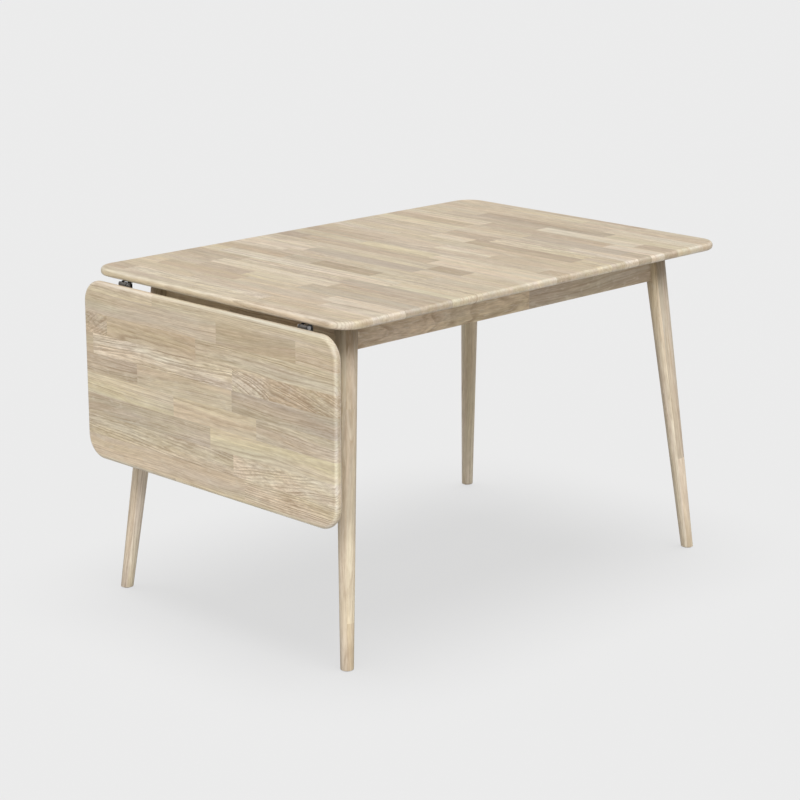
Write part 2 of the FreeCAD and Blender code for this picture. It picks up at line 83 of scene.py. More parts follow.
# Rows of staves, from the hinge edge on. A row gives each stave's tone and, in
# millimetres along the row, where it ends. A star marks a stave sawn near the heart,
# and a caret one whose log bends there, so that its rings run across it. Several tones
# for one stave are spread evenly along it and fade into each other.
# The top's rows start at its front edge, and the leaf's at its back edge. A rail has one
# row, which runs from left to right as seen from outside. A leg has two, one on each side
# of its glue line, which start at the foot.
TOP_ROWS = (
    "mid 480 mid",
    "mid 290 pale* 725 brown",
    "pale 163 mid 560 mid",
    "pale 200 mid 470 brown 730 honey",
    "grey 320 honey 500 brown 650 mid",
    "brown 280 pale 655 brown",
    "grey 300 mid* 620 brown",
    "honey 193 pale 735 honey",
    "honey* 293 dark 480 grey 575 brown",
    "mid 180 mid 635 pale",
    "mid 255 grey 600 pale",
    "mid 155 dark 258 mid 640 mid",
    "pale 300 brown 715 dark",
    "pale 340 honey 570 mid",
    "brown 60 mid 565 brown",
    "mid 250 pale 413 mid",
    "mid 330 mid 590 pale",
    "honey 80 dark 405 pale 520 mid",
    "mid 85 honey* 370 brown 520 mid",
    "pale 180 mid 525 honey",
    "brown 60 grey 350 mid 540 brown",
    "pale 145 brown 525 pale",
    "brown 95 pale 390 grey 700 mid",
    "honey 218 dark 620 mid",
    "pale 260 mid",
    "mid 370 honey 600 mid",
    "mid 210 brown 560 mid",
)
LEAF_ROWS = (
    "mid 236 mid",
    "mid 442 brown 684 mid",
    "brown^ 80 tan 376 mid",
    "tan 30 pale* 491 mid^ 603 tan^",
    "brown 180 mid 488 grey",
    "honey 300 mid 563 mid",
    "grey 418 honey",
    "mid* 490 pale^",
    "mid 524 mid*",
    "mid 300 honey",
)
RAIL_STAVES = {
    # The front rail's darker tones are partly the wood's own and partly painted shade from the top's
    # overhang.
    "front": "dark*>tan 533 smoked",
    "back": "mid 310 brown 640 grey",
    "leaf_end": "pale 220 mid 440 pale",
    "far_end": "brown 250 mid",
}
# A leg's tones are painted shade and light. They grow darker towards its top, where the table and the leaf
# shade it, and paler towards its foot. On the front left leg the darkening starts near the leaf's lower
# edge. Where light falls unevenly on a leg, one half is toned paler.
LEG_STAVES = {
    "front_left": (
        "tan 99 mid>mid>mid>ash>ash>ash>ash 541 smoked",
        "mid>mid>mid>mid>ash>ash>ash>ash>ash>ash>ash 750",
    ),
    "front_right": ("pale>pale>mid>mid 750", "mid 224 ash"),
    "back_left": ("pale>pale>mid 750", "pale>pale>pale 750"),
    "back_right": ("pale>mid>mid 750", "pale>mid>mid 750"),
}

# What a stave draws for its place in the log, sawn near the heart or further out: the
# strength of its figure, its turn in degrees, its distance from the heart in millimetres
# and its lean against the fibres in millimetres to the metre. A bent log leans more.
NEAR_HEART = {"strength": (1.15, 1.5), "turn": (-14, 14), "distance": (25, 60), "lean": (60, 130)}
FURTHER_OUT = {"strength": (0.75, 1.15), "turn": (35, 90), "distance": (70, 190), "lean": (0, 40)}
BENT_LEAN = 2.6
# What every stave draws: how light and how warm it is, its place along the log in metres
# and aside in millimetres, and how close its rings are.
SHADES = (0.975, 1.025)
WARMTHS = (-0.012, 0.012)
PLACES_ALONG = (0, 9)
PLACES_ASIDE = (-6, 6)
RING_CLOSENESS = (0.8, 1.25)

# Shares by which end grain is darker, rounded edges are paler, as wear and as a painted
# highlight half way round them, the figure on a board's edges is calmer, and whole pieces
# are paler than the top.
END_GRAIN_DARK = 0.24
EDGE_WEAR_AND_HIGHLIGHT = 0.17
CALM_EDGE = 0.25
LEAF_PALENESS = 0.02
RAIL_PALENESS = 0.03
LEG_PALENESS = 0.04
# How much paling adds to red, green and blue, for paler pieces and the painted edge highlight.
PALE_GAIN = (1, 1.45, 2.2)

# Lumps to the metre of each figure in the wood: along the grain, aside and out.
LUMPS = {
    "winding": (2.4, 11, 11),
    "waves": (14, 50, 50),
    "breaks": (9, 60, 60),
    "pores": (160, 2600, 2600),
    "streaks": (5.5, 190, 190),
    "threads": (40, 560, 560),
    "mottle": (26, 110, 110),
    "clouds": (2.2, 26, 26),
    "flecks": (45, 500, 90),
    "warmth": (3, 34, 34),
    "greenness": (2.5, 22, 40),
}
# Lumps to the metre, out from the heart, in the width of the years and in their early wood.
YEAR_LUMPS = (100, 1, 1)
EARLY_LUMPS = (80, 1, 1)
# How far fibres wind and ripple, in metres.
WINDING = (0, 0.030, 0.036)
RIPPLE = (0, 0.0036, 0.0036)
# The two tints that each figure runs between.
FIGURE_TINTS = ((0.55, 0.475, 0.41), (1.45, 1.50, 1.56))
WARMTH_TINTS = ((0.985, 1, 1.035), (1.02, 1, 0.955))
GREENNESS_TINTS = ((1.012, 0.99, 1.012), (0.985, 1.005, 0.98))
# The corner blocks' raw wood, and their place in its log.
RAW_TONE = (1.08, 1.0, 0.86)
RAW_PLACE = (0, 0.03, -0.62)

# Plated finishes: the setting that holds the colour, lumps to the metre of the lines, and roughness.
PLATINGS = {
    "drawn_steel": ("steel", (40, 900, 900), 0.3),
    "black_zinc": ("black_zinc", (300, 300, 300), 0.36),
    "grey_plating": ("grey", (60, 500, 500), 0.4),
    "bright_zinc": ("zinc", (260, 260, 260), 0.28),
}

# How finely round shapes are divided.
CORNER_STEPS = 20
EDGE_STEPS = 8
RAIL_EDGE_STEPS = 3
FOOT_STEPS = 2
LEG_SIDES = 96
WIRE_SIDES = 10
TURN_STEPS = 32
# A corner this near a cut, in metres, is taken as it is. A face counts as flat where it is
# less round or more square than this.
CUT_NEARNESS = 1e-6
FLAT_ROUNDNESS = 0.001
FLAT_SQUARENESS = 0.99999

# The floor's width, and how far off the lamps hang, in metres.
FLOOR_SIZE = 60
LAMP_DISTANCE = 4


# ---- settings that a user would change
class BoardSettings(bpy.types.PropertyGroup):
    """Sizes of the top, the leaf and the staves that they are glued from."""

    top_corner: FloatProperty(
        name="Top corner", description="Corner radius of the top", default=52 * MM, subtype="DISTANCE"
    )
    leaf_corner: FloatProperty(
        name="Leaf corner", description="Corner radius of the leaf", default=51 * MM, subtype="DISTANCE"
    )
    edge_round: FloatProperty(
        name="Edge round", description="Rounding of the boards' edges", default=8 * MM, subtype="DISTANCE"
    )
    stave_width: FloatProperty(
        name="Stave width", description="Width of one row of staves", default=45.7 * MM, subtype="DISTANCE"
    )
    top_first_row: FloatProperty(
        name="Top's first row", description="Width left of the row at the top's hinge edge",
        default=32.5 * MM, subtype="DISTANCE",
    )
    leaf_first_row: FloatProperty(
        name="Leaf's first row", description="Width left of the row at the leaf's hinge edge",
        default=25 * MM, subtype="DISTANCE",
    )


class FrameSettings(bpy.types.PropertyGroup):
    """Sizes of the legs and rails."""

    leg_top: FloatProperty(
        name="Leg top", description="Leg's diameter under the top", default=48.4 * MM, subtype="DISTANCE"
    )
    leg_foot: FloatProperty(
        name="Leg foot", description="Leg's diameter at the floor", default=28 * MM, subtype="DISTANCE"
    )
    top_inset: FloatProperty(
        name="Top inset", description="Leg axis from both edges, under the top",
        default=111.5 * MM, subtype="DISTANCE",
    )
    foot_inset: FloatProperty(
        name="Foot inset", description="Leg axis from both edges, at the floor",
        default=40 * MM, subtype="DISTANCE",
    )
    foot_chamfer: FloatProperty(
        name="Foot chamfer", description="Bevel round the foot", default=1.2 * MM, subtype="DISTANCE"
    )
    rail_round: FloatProperty(
        name="Rail rounding", description="Broken edge of the rails", default=1.5 * MM, subtype="DISTANCE"
    )


class OakSettings(bpy.types.PropertyGroup):
    """Colour and figure of the oak."""

    color: FloatVectorProperty(
        name="Colour", description="White-pigmented oak", default=(0.640, 0.536, 0.388),
        subtype="COLOR", size=3, min=0, max=1,
    )
    pore_color: FloatVectorProperty(
        name="Pores", description="Early wood and open pores", default=(0.36, 0.25, 0.155),
        subtype="COLOR", size=3, min=0, max=1,
    )
    fleck_color: FloatVectorProperty(
        name="Rays", description="Flecks where rays are cut along", default=(0.72, 0.65, 0.53),
        subtype="COLOR", size=3, min=0, max=1,
    )
    ring_width: FloatProperty(
        name="Year ring", description="Growth of one year", default=4.6 * MM, subtype="DISTANCE"
    )
    roughness: FloatProperty(
        name="Roughness", description="Matt lacquer", default=0.48, subtype="FACTOR", min=0, max=1
    )
    figure: FloatProperty(
        name="Figure", description="Strength of rings and streaks", default=1.0, min=0, max=3
    )


class HardwareSettings(bpy.types.PropertyGroup):
    """Finishes of the metal and plastic pieces."""

    # The black coat is partly painted shade: it keeps the brackets and levers under the top as dark as shade
    # there.
    black: FloatVectorProperty(
        name="Black coat", description="Powder coat of the hinges", default=(0.02, 0.02, 0.022),
        subtype="COLOR", size=3, min=0, max=1,
    )
    zinc: FloatVectorProperty(
        name="Zinc", description="Bright zinc plating", default=(0.6, 0.6, 0.6),
        subtype="COLOR", size=3, min=0, max=1,
    )
    black_zinc: FloatVectorProperty(
        name="Black zinc", description="Plating of the hinge screws", default=(0.1, 0.1, 0.11),
        subtype="COLOR", size=3, min=0, max=1,
    )
    steel: FloatVectorProperty(
        name="Steel", description="Drawn steel of pins and springs", default=(0.45, 0.45, 0.46),
        subtype="COLOR", size=3, min=0, max=1,
    )
    grey: FloatVectorProperty(
        name="Grey plating", description="Satin plating of the hinge arms", default=(0.22, 0.21, 0.20),
        subtype="COLOR", size=3, min=0, max=1,
    )
    nylon: FloatVectorProperty(
        name="Nylon", description="Glides under the feet", default=(0.55, 0.5, 0.42),
        subtype="COLOR", size=3, min=0, max=1,
    )
    wire: FloatProperty(
        name="Spring wire", description="Diameter of the spring wire", default=0.9 * MM, subtype="DISTANCE"
    )
    spring_turns: IntProperty(
        name="Spring turns", description="Turns of each catch spring", default=6, min=2, max=20
    )


class StudioSettings(bpy.types.PropertyGroup):
    """Floor, light and camera."""

    pale: FloatVectorProperty(
        name="Pale ground", description="Floor and backdrop", default=(0.834, 0.834, 0.834),
        subtype="COLOR", size=3, min=0, max=1,
    )
    bounce: FloatProperty(
        name="Floor bounce", description="Share of light that the floor sends back", default=0.58,
        subtype="FACTOR", min=0, max=1,
    )
    shadow: FloatProperty(
        name="Shadow", description="How much of the floor's shadow shows", default=0.208,
        subtype="FACTOR", min=0, max=1,
    )
    walls: FloatProperty(name="Walls", description="Light from round the table", default=1.0, min=0, max=1)
    ceiling: FloatProperty(name="Ceiling", description="Light from above", default=0.2, min=0, max=1)
    overhead: FloatProperty(
        name="Overhead light", description="Wide lamp that lights the floor", default=6.0, min=0
    )
    overhead_spread: FloatProperty(
        name="Overhead spread", description="Width of the overhead light, as seen from the table",
        default=math.radians(42), subtype="ANGLE",
    )
    key: FloatProperty(name="Key light", description="Soft lamp from the camera's side", default=2.2, min=0)
    key_turn: FloatProperty(
        name="Key turn", description="Way round that the key light hangs", default=math.radians(-32),
        subtype="ANGLE",
    )
    key_height: FloatProperty(
        name="Key height", description="Elevation of the key light", default=math.radians(43),
        subtype="ANGLE",
    )
    key_spread: FloatProperty(
        name="Key spread", description="Width of the key light, as seen from the table",
        default=math.radians(30), subtype="ANGLE",
    )
    turn: FloatProperty(
        name="View turn", description="Way round that the camera stands", default=math.radians(-45),
        subtype="ANGLE",
    )
    tilt: FloatProperty(
        name="View tilt", description="How far down the camera looks", default=math.radians(15),
        subtype="ANGLE",
    )
    lens: FloatProperty(name="Lens", description="Focal length in millimetres", default=104.52, min=1)
    camera_place: FloatVectorProperty(
        name="Camera", description="Where the camera stands", default=(-3.6255, -3.5908, 1.7681),
        subtype="TRANSLATION", size=3,
    )


class TableSettings(bpy.types.PropertyGroup):
    """All settings of the table."""

    boards: PointerProperty(type=BoardSettings, name="Boards", description="Top and leaf")
    frame: PointerProperty(type=FrameSettings, name="Frame", description="Legs and rails")
    oak: PointerProperty(type=OakSettings, name="Oak", description="The wood")
    hardware: PointerProperty(type=HardwareSettings, name="Hardware", description="Metal and plastic")
    studio: PointerProperty(type=StudioSettings, name="Studio", description="Floor, light and camera")


# ---- shader maths
class Value:
    """A socket that Python's signs work on, each adding a Math node."""

    def __init__(self, paint, socket):
        self.paint = paint
        self.socket = socket

    def math(self, operation, *values):
        sockets = dict(enumerate((self, *values)))
        node = self.paint.node("ShaderNodeMath", {"operation": operation}, sockets)
        return Value(self.paint, node.outputs[0])

    def __add__(self, other):
        return self.math("ADD", other)

    __radd__ = __add__

    def __mul__(self, other):
        return self.math("MULTIPLY", other)

    __rmul__ = __mul__

    def __sub__(self, other):
        return self.math("SUBTRACT", other)

    def __rsub__(self, other):
        return self.math("MULTIPLY_ADD", -1, other)

    def __truediv__(self, other):
        return self.math("DIVIDE", other)

    def ramp(self, low, high):
        """0 under low, 1 over high, and smooth between."""
        node = self.paint.node(
            "ShaderNodeMapRange",
            {"interpolation_type": "SMOOTHSTEP"},
            {"Value": self, "From Min": low, "From Max": high},
        )
        return Value(self.paint, node.outputs["Result"])


class Paint:
    """One material or world and the nodes that it is made of."""

    def __init__(self, owner):
        self.owner = owner
        owner.use_nodes = True
        self.tree = owner.node_tree
        self.tree.nodes.clear()

    def node(self, kind, settings=None, sockets=None):
        """A node of that kind, given its settings and then what its sockets hold."""
        node = self.tree.nodes.new(kind)
        for name, setting in (settings or {}).items():
            setattr(node, name, setting)
        for name, value in (sockets or {}).items():
            if isinstance(value, Value):
                self.tree.links.new(value.socket, node.inputs[name])
            else:
                node.inputs[name].default_value = value
        return node

    def value(self, node, output=0):
        return Value(self, node.outputs[output])

    def attribute(self, name, output):
        node = self.node("ShaderNodeAttribute", {"attribute_name": name, "attribute_type": "GEOMETRY"})
        return self.value(node, output)

    def object_place(self):
        return self.value(self.node("ShaderNodeTexCoord"), "Object")

    def turned(self, vector, angles):
        node = self.node("ShaderNodeMapping", None, {"Vector": vector, "Rotation": angles})
        return self.value(node)

    def stretched(self, vector, shares):
        node = self.node("ShaderNodeVectorMath", {"operation": "MULTIPLY"}, {0: vector, 1: shares})
        return self.value(node)

    def parts(self, vector):
        node = self.node("ShaderNodeSeparateXYZ", None, {0: vector})
        return [self.value(node, axis) for axis in range(3)]

    def joined(self, x, y, z):
        return self.value(self.node("ShaderNodeCombineXYZ", None, {0: x, 1: y, 2: z}))

    def noise_node(self, vector, per_metre, detail):
        sockets = {"Vector": self.stretched(vector, per_metre), "Scale": 1.0, "Detail": detail}
        return self.node("ShaderNodeTexNoise", None, sockets)

    def noise(self, vector, per_metre, detail):
        """Soft noise of about 0 to 1 with that many lumps to the metre along each axis."""
        return self.value(self.noise_node(vector, per_metre, detail))

    def colored_noise(self, vector, per_metre, detail):
        """Three soft noises at once, each of about -0.5 to 0.5."""
        noise = self.value(self.noise_node(vector, per_metre, detail), "Color")
        return self.moved(noise, (-0.5, -0.5, -0.5))

    def moved(self, vector, shift):
        return self.value(self.node("ShaderNodeVectorMath", {"operation": "ADD"}, {0: vector, 1: shift}))

    def mixed(self, share, low, high, blend="MIX"):
        """One colour or the other, by share."""
        settings = {"data_type": "RGBA", "blend_type": blend, "clamp_factor": True}
        node = self.node("ShaderNodeMix", settings, {0: share, 6: low, 7: high})
        return self.value(node, 2)

    def tinted(self, color, tint):
        return self.mixed(1.0, color, tint, "MULTIPLY")

    def bump(self, height, depth, strength):
        sockets = {"Height": height, "Distance": depth, "Strength": strength}
        return self.value(self.node("ShaderNodeBump", None, sockets))

    def surface(self, sockets):
        """The material, once its shader with these sockets shows."""
        shader = self.node("ShaderNodeBsdfPrincipled", None, sockets)
        self.show(self.value(shader))
        return self.owner

    def show(self, shader):
        kind = "World" if isinstance(self.owner, bpy.types.World) else "Material"
        self.node("ShaderNodeOutput" + kind, None, {"Surface": shader})


def solid(color, share=1.0):
    """A colour as a socket takes it, times a share."""
    return (*(part * share for part in color), 1.0)


def material(name, recipe, *details):
    """The material of that name, made by its recipe the first time."""
    return bpy.data.materials.get(name) or recipe(Paint(bpy.data.materials.new(name)), *details)


# ---- finishes
def bent_grain(paint, grain):
    """The place in a log whose fibres wind a little instead of running straight."""
    winding = paint.colored_noise(grain, LUMPS["winding"], 1)
    waves = paint.colored_noise(grain, LUMPS["waves"], 1)
    wound = paint.moved(grain, paint.stretched(winding, WINDING))
    return paint.moved(wound, paint.stretched(waves, RIPPLE))


def year_rings(paint, grain, ring_width):
    """Early wood of a log that grows about the first axis of grain, and the place in its rings."""
    along, aside, out = paint.parts(grain)
    radius = (aside * aside + out * out).math("SQRT")
    turns = paint.joined(radius, 0, 0)
    years = radius / ring_width + paint.noise(turns, YEAR_LUMPS, 1) * 2.2
    season = years.math("FRACT")
    early = season.ramp(0, 0.12) * (1 - season.ramp(0.16, 0.66))
    strength = paint.noise(turns, EARLY_LUMPS, 1).ramp(0.38, 0.62)
    broken = paint.noise(grain, LUMPS["breaks"], 1).ramp(0.32, 0.58)
    around = aside.math("ARCTAN2", out) * radius
    return early * (strength * 0.75 + 0.25) * (broken * 0.6 + 0.4), paint.joined(along, around, radius)


def oak(paint, grain, tone, contrast, base, settings):
    """Brushed oak under a thin white-pigmented matt lacquer."""
    grain = bent_grain(paint, grain)
    early, ring_place = year_rings(paint, grain, settings.ring_width)
    force = contrast * settings.figure
    pores = paint.noise(grain, LUMPS["pores"], 1).ramp(0.54, 0.68)
    pores = pores * (early * 0.8 + 0.2)
    streaks = paint.noise(grain, LUMPS["streaks"], 2) - 0.5
    threads = paint.noise(grain, LUMPS["threads"], 1) - 0.5
    mottle = paint.noise(grain, LUMPS["mottle"], 2) - 0.5
    clouds = paint.noise(grain, LUMPS["clouds"], 2) - 0.5
    flecks = paint.noise(ring_place, LUMPS["flecks"], 1).ramp(0.58, 0.72)
    warmth = paint.noise(grain, LUMPS["warmth"], 2).ramp(0.34, 0.66)
    greenness = paint.noise(grain, LUMPS["greenness"], 2).ramp(0.34, 0.66)
    figure = (streaks * 0.68 + threads * 0.52 + mottle * 0.42 + clouds * 0.34) * force + 0.5
    tinted = paint.tinted(base, tone)
    for share, tints in ((figure, FIGURE_TINTS), (warmth, WARMTH_TINTS), (greenness, GREENNESS_TINTS)):
        tinted = paint.tinted(tinted, paint.mixed(share, *(solid(tint) for tint in tints)))
    lined = paint.mixed((early * 0.60 + pores * 0.45) * force, tinted, solid(settings.pore_color))
    flecked = paint.mixed(flecks * 0.3 * contrast, lined, solid(settings.fleck_color))
    height = threads * 0.25 - pores - early * 0.35
    return paint.surface(
        {
            "Base Color": flecked,
            "Roughness": settings.roughness + pores * 0.2 + streaks * 0.12,
            "Specular IOR Level": 0.36,
            "Normal": paint.bump(height, 0.12 * MM, 0.5),
        }
    )


def stave_oak(paint, settings):
    """Oak whose staves bring their own grain, tone and contrast."""
    grain = paint.attribute("grain", "Vector")
    tone = paint.attribute("stave", "Color")
    contrast = paint.attribute("stave", "Alpha")
    return oak(paint, grain, tone, contrast, solid(settings.color), settings)


def block_wood(paint, turn, settings):
    """Raw solid wood whose grain runs level, at that turn from the long way of the table."""
    grain = paint.moved(paint.turned(paint.object_place(), (0, 0, turn)), RAW_PLACE)
    return oak(paint, grain, solid(RAW_TONE), 1.0, solid(settings.color), settings)


def powder_coat(paint, color):
    """Satin powder coat: a fine skin of orange peel, and a little dust."""
    place = paint.object_place()
    peel = paint.noise(place, (1500,) * 3, 1)
    dust = paint.noise(place, (90,) * 3, 3).ramp(0.45, 0.8)
    return paint.surface(
        {
            "Base Color": paint.mixed(dust * 0.35, solid(color), solid([part + 0.05 for part in color])),
            "Roughness": 0.38 + dust * 0.2 + peel * 0.08,
            "Normal": paint.bump(peel, 0.04 * MM, 0.5),
        }
    )


def plated(paint, color, lumps, roughness):
    """Plated or drawn steel with faint drawing lines and clouded lustre."""
    place = paint.object_place()
    lines = paint.noise(place, lumps, 2)
    clouds = paint.noise(place, (130,) * 3, 3)
    shade = paint.mixed(clouds, solid(color, 0.82), solid(color))
    return paint.surface(
        {
            "Base Color": paint.mixed(lines * 0.4, shade, solid(color, 0.7)),
            "Metallic": 1.0,
            "Roughness": roughness + clouds * 0.16 + lines * 0.08,
            "Normal": paint.bump(lines, 0.02 * MM, 0.4),
        }
    )


def plating(name, hardware):
    """The material of a plated finish, in its colour from the settings."""
    setting, lumps, roughness = PLATINGS[name]
    return material(name, plated, getattr(hardware, setting), lumps, roughness)


def moulded(paint, color):
    """Moulded nylon, scuffed where it slides."""
    place = paint.object_place()
    grain = paint.noise(place, (1100,) * 3, 2)
    scuffs = paint.noise(place, (700, 60, 60), 2).ramp(0.5, 0.75)
    return paint.surface(
        {
            "Base Color": paint.mixed(scuffs * 0.5, solid(color), solid(color, 0.72)),
            "Roughness": 0.5 + grain * 0.12 + scuffs * 0.15,
            "Normal": paint.bump(grain, 0.05 * MM, 0.5),
        }
    )


# ---- wood in staves
class Stave:
    """One stave: where it starts and ends along its row, its tones, and how it lay in the log."""

    def __init__(self, word, start, end, dice):
        word, *later = word.split(">")
        bent = word.endswith("^")
        crown = bent or word.endswith("*")
        log = NEAR_HEART if crown else FURTHER_OUT
        self.start, self.end = start, end
        strength = dice.uniform(*log["strength"])
        shade = dice.uniform(*SHADES)
        warm = dice.uniform(*WARMTHS)
        self.tints = []
        for red, green, blue in (TONES[tone] for tone in (word.rstrip("*^"), *later)):
            self.tints.append((red * shade * (1 + warm), green * shade, blue * shade * (1 - warm), strength))
        way = 1 if crown else dice.choice((-1, 1))
        turn = way * dice.uniform(*log["turn"])
        distance = dice.uniform(*log["distance"])
        lean = dice.uniform(*log["lean"]) * (BENT_LEAN if bent else 1)
        self.turn = Matrix.Rotation(math.radians(turn), 3, "X")
        along = dice.uniform(*PLACES_ALONG)
        self.shift = Vector((along, dice.uniform(*PLACES_ASIDE) * MM, distance * MM))
        self.lean = dice.choice((-1, 1)) * lean * MM
        self.closeness = dice.uniform(*RING_CLOSENESS)

    def tone_places(self):
        """Where along its row each tone but the first and the last is reached."""
        steps = len(self.tints) - 1
        return [self.start + (self.end - self.start) * step / steps for step in range(1, steps)]

    def tint_at(self, along):
        """Its tint and contrast at a length along its row. Its tones are spread evenly over it."""
        steps = len(self.tints) - 1
        place = steps * (along - self.start) / (self.end - self.start)
        low = max(0, min(int(place), steps - 1))
        high = min(low + 1, steps)
        pairs = zip(self.tints[low], self.tints[high])
        return [first + (last - first) * (place - low) for first, last in pairs]

    def in_log(self, point):
        """A point of the stave as along, aside and out from the heart of its log."""
        place = self.turn @ Vector((0, point.y, point.z)) * self.closeness
        return Vector((point.x, place.y, place.z + self.lean * point.x)) + self.shift


def row_staves(words, dice):
    """The staves of one written row; the last one has no written end."""
    marks = words.split()
    ends = [float(end) * MM for end in marks[1::2]]
    return [Stave(*told, dice) for told in zip(marks[::2], [0.0, *ends], [*ends, math.inf])]


def faces_in(mesh, inside):
    """Faces whose middle passes a test, with their edges and corners."""
    faces = [face for face in mesh.faces if inside(face.calc_center_median())]
    edges = {edge for face in faces for edge in face.edges}
    verts = {vert for face in faces for vert in face.verts}
    return faces + list(edges) + list(verts)


def cut(mesh, geometry, place, across, clear=False):
    """Cut along the plane through a place, square to across, and clear what is past it."""
    bmesh.ops.bisect_plane(
        mesh, geom=geometry, dist=CUT_NEARNESS, plane_co=place, plane_no=across, clear_outer=clear
    )


def everything(mesh):
    return mesh.faces[:] + mesh.edges[:] + mesh.verts[:]


def stave_at(rows, row_of, start, point):
    """The stave that a point lies in."""
    for stave in rows[row_of(point)]:
        if point.x - start < stave.end:
            return stave
    raise ValueError("a point lies past the last stave of its row")


def paled(tint, share):
    """A stave's tint and contrast, paler by a share: on rounded edges, wear and painted highlight."""
    *color, contrast = tint
    return [part * (1 + gain * share) for part, gain in zip(color, PALE_GAIN)] + [contrast * (1 - share)]


def roundness(normal):
    """0 where a surface faces squarely along an axis, 1 half way round a rounded edge."""
    squareness = max(abs(part) for part in normal) ** 2
    return 4 * squareness * (1 - squareness)


def glue_up(mesh, rows, borders, row_across, start, wear_and_highlight=0.0, calm=0.0, washed=0.0):
    """Cut a piece along its rows and staves, and write each stave's grain and tone on its faces.

    The staves run along x. Rows are parted where row_across . point equals a border.
    Rounded edges are paler, as wear and as a painted highlight, by the share given for them,
    and the whole piece by the share washed.
    The figure is weaker by the share calm on faces square to the board's own face.
    """

    def row_of(point):
        level = row_across.dot(point)
        return sum(level > border for border in borders)

    for border in borders:
        cut(mesh, everything(mesh), row_across * border, row_across)
    for number, row in enumerate(rows):
        places = [stave.end for stave in row[:-1]]
        places += [place for stave in row for place in stave.tone_places()]
        for place in places:
            geometry = faces_in(mesh, lambda middle: row_of(middle) == number)
            cut(mesh, geometry, Vector((start + place, 0, 0)), X_AXIS)
    mesh.normal_update()
    grain = mesh.loops.layers.float_vector.new("grain")
    tone = mesh.loops.layers.float_color.new("stave")
    for face in mesh.faces:
        stave = stave_at(rows, row_of, start, face.calc_center_median())
        flat = roundness(face.normal) < FLAT_ROUNDNESS
        for corner in face.loops:
            normal = face.normal if flat else corner.vert.normal
            corner[grain] = stave.in_log(corner.vert.co)
            tint = stave.tint_at(corner.vert.co.x - start)
            # Paler half way round rounded edges: wear, and a painted highlight.
            *shade, contrast = paled(tint, washed + wear_and_highlight * roundness(normal))
            soaked = 1 - END_GRAIN_DARK * normal.x ** 2
            calmed = 1 - calm * (1 - normal.z ** 2)
            corner[tone] = (*(part * soaked for part in shade), contrast * calmed)


def rounded(mesh, edges, size, steps):
    """Round edges off in that many steps."""
    bmesh.ops.bevel(
        mesh, geom=edges, offset=size, offset_type="OFFSET", affect="EDGES",
        segments=steps, profile=0.5, material=-1,
    )


def rounded_block(size, corner, edge, edge_steps):
    """A level block about the origin, with rounded edges and, where corner isn't 0, corners."""

    def upright(line):
        return abs(line.verts[0].co.z - line.verts[1].co.z) > size.z / 2

    mesh = bmesh.new()
    bmesh.ops.create_cube(mesh, size=1)
    bmesh.ops.scale(mesh, vec=size, verts=mesh.verts)
    rims = mesh.edges[:]
    if corner:
        rounded(mesh, [line for line in mesh.edges if upright(line)], corner, CORNER_STEPS)
        rims = [line for line in mesh.edges if not upright(line)]
    rounded(mesh, rims, edge, edge_steps)
    return mesh


def smooth_rounds(mesh, flat_normals):
    """Shade every face smooth, except the big flat ones."""
    for face in mesh.faces:
        face.smooth = not any(abs(face.normal.dot(way)) > FLAT_SQUARENESS for way in flat_normals)


def axes(along, across, up, middle):
    """The matrix that takes a piece's own x, y and z to these directions about a middle point."""
    turn = Matrix((along, across, up)).transposed().to_4x4()
    return Matrix.Translation(middle) @ turn


def linked(name, data):
    """A new object of the scene that holds the data."""
    piece = bpy.data.objects.new(name, data)
    bpy.context.scene.collection.objects.link(piece)
    return piece


def meshed(name, mesh, paint):
    """The mesh as a new object of the scene."""
    data = bpy.data.meshes.new(name)
    mesh.to_mesh(data)
    mesh.free()
    data.materials.append(paint)
    return linked(name, data)


def oak_piece(name, mesh, body, node, settings):
    """The mesh as a piece of oak that rides on a body in place of a CAD node."""
    piece = meshed(name, mesh, material("pale_oak", stave_oak, settings.oak))
    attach(piece, body)
    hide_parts(node)


def settings_of(context):
    return context.scene.drop_leaf_table


def stave_board(name, node, body, rows, first_row, corner, ways, settings, washed=0.0):
    """A board of staves in the place of a CAD node.

    ways are the directions of the board's own x, y and z.
    """
    low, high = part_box(node)
    along, across, up = ways
    span = high - low
    size = Vector(abs(span.dot(way)) for way in (along, across, up))
    boards = settings.boards
    mesh = rounded_block(size, corner, boards.edge_round, EDGE_STEPS)
    borders = []
    level = -size.y / 2 + first_row
    while level < size.y / 2 and len(borders) < len(rows) - 1:
        borders.append(level)
        level += boards.stave_width
    dice = random.Random(name)
    staves = [row_staves(words, dice) for words in rows]
    glue_up(mesh, staves, borders, Y_AXIS, -size.x / 2, EDGE_WEAR_AND_HIGHLIGHT, CALM_EDGE, washed)
    smooth_rounds(mesh, [Z_AXIS])
    bmesh.ops.transform(mesh, matrix=axes(along, across, up, (low + high) / 2), verts=mesh.verts)
    oak_piece(name, mesh, body, node, settings)


def mirrored_row(words, box):
    """A row written from the front, as read from the back."""
    width = (box[1].y - box[0].y) / MM
    marks = words.split()
    marks[1::2] = [f"{width - float(end):g}" for end in marks[1::2]]
    return " ".join(reversed(marks))


# ---- operators, one for each piece or group of like pieces
class TABLE_OT_top(bpy.types.Operator):
    """Glue up the table top"""

    bl_idname = "table.top"
    bl_label = "Table top"

    def execute(self, context):
        settings = settings_of(context)
        boards = settings.boards
        rows = [mirrored_row(words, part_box("table_top")) for words in TOP_ROWS]
        ways = (-Y_AXIS, X_AXIS, Z_AXIS)
        stave_board(
            "oak_top", "table_top", "table", rows,
            boards.top_first_row, boards.top_corner, ways, settings,
        )
        return {"FINISHED"}


